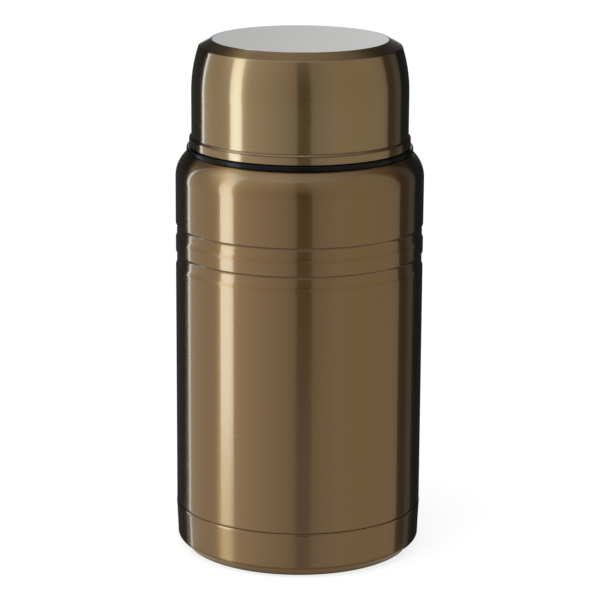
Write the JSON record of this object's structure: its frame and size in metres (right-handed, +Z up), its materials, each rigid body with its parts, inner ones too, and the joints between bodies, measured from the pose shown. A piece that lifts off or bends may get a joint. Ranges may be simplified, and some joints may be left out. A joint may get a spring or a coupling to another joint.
{
  "type": "vacuum growler",
  "caption": "Wide-mouth double-wall steel vacuum flask or growler with a vented screw stopper, a black neck collar and a screw-on cup lid, in bronze lacquer over brushed steel.",
  "frame": {"origin": "on the floor, at the middle of the foot ring", "axes": "+Z up along the common axis of flask, stopper and cup"},
  "size_m": [0.1002, 0.1002, 0.2091],
  "materials": {
    "bronze_lacquer": "translucent bronze lacquer over steel brushed round the axis",
    "bare_steel": "bare brushed stainless steel",
    "black_plastic": "moulded black polypropylene, glossy",
    "silicone": "grey silicone rubber",
    "foam": "white expanded foam",
    "foil": "bright metal foil",
    "getter_metal": "sintered metal",
    "sealing_glass": "fused sealing glass",
    "spring_steel": "drawn spring wire"
  },
  "bodies": {
    "flask": {"outer_shell": "bronze_lacquer", "base_cup": "bronze_lacquer", "neck_collar": "black_plastic", "inner_vessel": "bare_steel", "inner_bottom": "bare_steel", "outer_bottom": "bare_steel", "vacuum_seal": "sealing_glass", "getter": "getter_metal", "getter_clip": "bare_steel", "foil_wrap": "foil"},
    "cup_seal": {"cup_gasket": "silicone"},
    "cup": {"cup_shell": "bronze_lacquer", "cup_top_disc": "bare_steel", "cup_liner": "black_plastic"},
    "stopper_seal": {"stopper_gasket": "silicone"},
    "stopper": {"stopper_body": "black_plastic", "stopper_cover": "black_plastic", "stopper_foam": "foam", "vent_spring": "spring_steel"},
    "vent_valve": {"vent_button": "black_plastic", "vent_stem": "bare_steel", "vent_seal": "silicone"}
  },
  "joints": [
    {"name": "cup_rise", "type": "slide", "parent": "flask", "child": "cup_seal", "axis": [0, 0, 1], "range_m": [0, 0.04]},
    {"name": "cup_turn", "type": "hinge", "parent": "cup_seal", "child": "cup", "pos_m": [0, 0, 0.1664], "axis": [0, 0, 1], "range_deg": [0, 900]},
    {"name": "stopper_rise", "type": "slide", "parent": "flask", "child": "stopper_seal", "axis": [0, 0, 1], "range_m": [0, 0.02]},
    {"name": "stopper_turn", "type": "hinge", "parent": "stopper_seal", "child": "stopper", "pos_m": [0, 0, 0.1755], "axis": [0, 0, 1], "range_deg": [0, 450]},
    {"name": "vent_press", "type": "slide", "parent": "stopper", "child": "vent_valve", "axis": [0, 0, -1], "range_m": [0, 0.003], "stiffness_N_per_m": 300, "springref_m": -0.004, "deforming": ["vent_spring"]}
  ],
  "couplings": [
    {"joint": "cup_rise", "follows": "cup_turn", "m_per_rad": 0.0025464},
    {"joint": "stopper_rise", "follows": "stopper_turn", "m_per_rad": 0.0025464}
  ]
}
